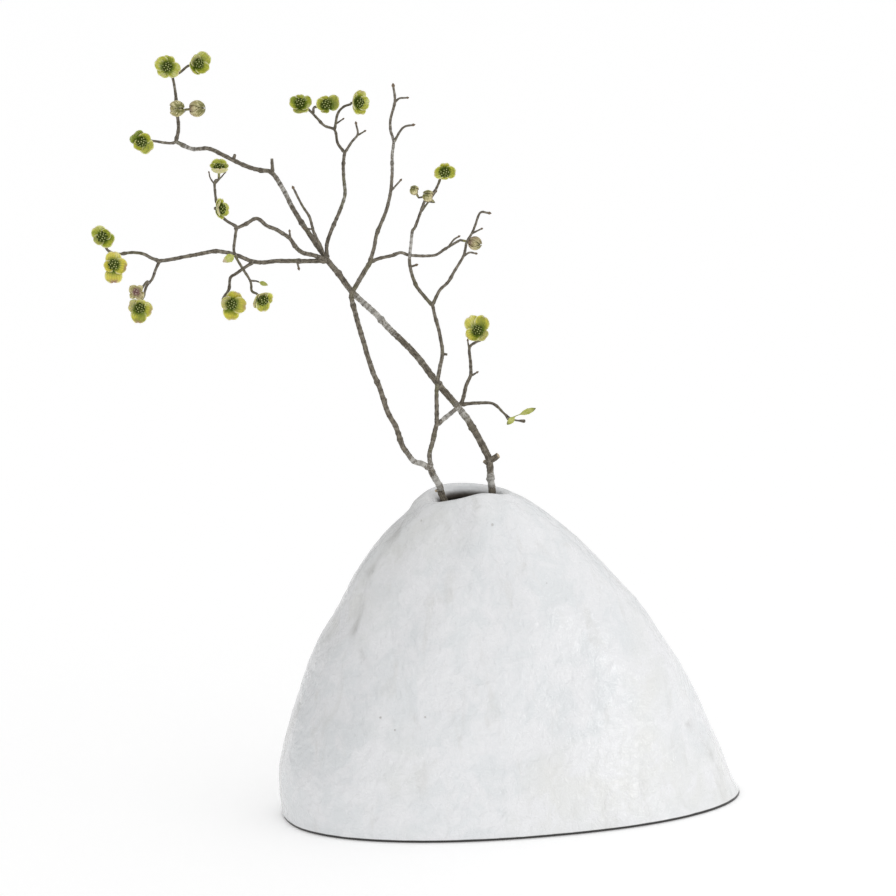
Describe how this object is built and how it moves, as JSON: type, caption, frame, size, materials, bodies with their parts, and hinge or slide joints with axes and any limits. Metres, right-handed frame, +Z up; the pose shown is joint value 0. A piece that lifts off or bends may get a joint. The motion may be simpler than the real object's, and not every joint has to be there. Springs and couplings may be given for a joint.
{
  "type": "flowering branches in vase",
  "caption": "Slender leaning flowering branches with four-bract green blooms and closed buds, standing in a wide squat white vase with a small soft-lipped mouth.",
  "frame": {"origin": "on the floor under the middle of the vase's foot", "axes": "+Z up, +X to the right and +Y away from the viewer of the picture's side"},
  "size_m": [0.459, 0.2076, 0.5392],
  "materials": {
    "white_glaze": "glossy white glaze over hand-pressed clay, faintly mottled",
    "grey_bark": "rough grey-brown bark with pale patches",
    "bract_green": "soft matte yellow-green bract",
    "head_green": "matte dark green with pale tips",
    "head_purple": "matte purple-brown",
    "bud_scale_tan": "matte tan bud scale",
    "young_leaf_green": "soft matte young leaf"
  },
  "bodies": {
    "root": {"vase": "white_glaze", "branch_right": "grey_bark", "branch_left": "grey_bark", "bloom_01_bracts": "bract_green", "bloom_01_head": "head_green", "bloom_02_bracts": "bract_green", "bloom_02_head": "head_green", "bloom_03_bracts": "bract_green", "bloom_03_head": "head_green", "bloom_04_bracts": "bract_green", "bloom_04_head": "head_green", "bloom_05_bracts": "bract_green", "bloom_05_head": "head_green", "bloom_06_bracts": "bract_green", "bloom_06_head": "head_green", "bloom_07_bracts": "bract_green", "bloom_07_head": "head_green", "bloom_08_bracts": "bract_green", "bloom_08_head": "head_green", "bloom_09_bracts": "bract_green", "bloom_09_head": "head_green", "bloom_10_bracts": "bract_green", "bloom_10_head": "head_green", "bloom_11_bracts": "bract_green", "bloom_11_head": "head_green", "bloom_12_bracts": "bract_green", "bloom_12_head": "head_green", "bloom_13_bracts": "bract_green", "bloom_13_head": "head_green", "bloom_14_bracts": "bract_green", "bloom_14_head": "head_green", "bloom_15_bracts": "bract_green", "bloom_15_head": "head_green", "bud_01_scales": "bud_scale_tan", "bud_01_head": "head_green", "bud_02_scales": "bud_scale_tan", "bud_02_head": "head_green", "bud_03_scales": "bud_scale_tan", "bud_03_head": "head_purple", "bud_04_scales": "bud_scale_tan", "bud_04_head": "head_green", "bud_05_scales": "bud_scale_tan", "bud_05_head": "head_green", "bud_06_scales": "bud_scale_tan", "bud_06_head": "head_green", "leaf_01": "young_leaf_green", "leaf_02": "young_leaf_green", "leaf_03": "young_leaf_green"}
  },
  "joints": []
}
